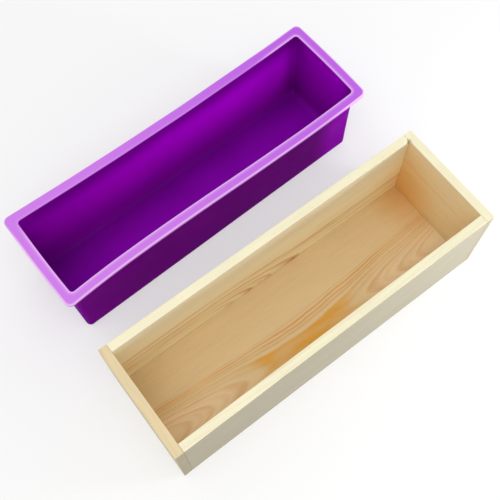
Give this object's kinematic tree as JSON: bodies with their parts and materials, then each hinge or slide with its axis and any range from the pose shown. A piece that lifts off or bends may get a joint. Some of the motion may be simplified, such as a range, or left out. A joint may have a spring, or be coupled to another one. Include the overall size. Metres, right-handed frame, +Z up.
{
  "type": "soap loaf mould",
  "caption": "Flexible loaf-shaped silicone liner with a flat rim, standing beside the open-topped pine box that it drops into and that keeps its walls straight.",
  "frame": {"origin": "centre of the wooden box's underside", "axes": "+X along the box, from its left end to its right end; +Y from the box towards the liner that stands behind it; +Z up, out of the box's open top"},
  "size_m": [0.2818, 0.2189, 0.08],
  "materials": {
    "silicone": "satin, slightly translucent silicone",
    "pine": "bare sanded pine",
    "brad_steel": "plain drawn steel wire"
  },
  "bodies": {
    "box": {"left_end_panel": "pine", "right_end_panel": "pine", "front_side_panel": "pine", "back_side_panel": "pine", "bottom_panel": "pine", "left_end_brads": "brad_steel", "right_end_brads": "brad_steel", "front_side_brads": "brad_steel", "back_side_brads": "brad_steel"},
    "liner": {"silicone_liner": "silicone"}
  },
  "joints": [
    {"name": "liner_lift", "type": "slide", "parent": "box", "child": "liner", "axis": [0, 0, 1], "range_m": [0, 0.1]}
  ]
}
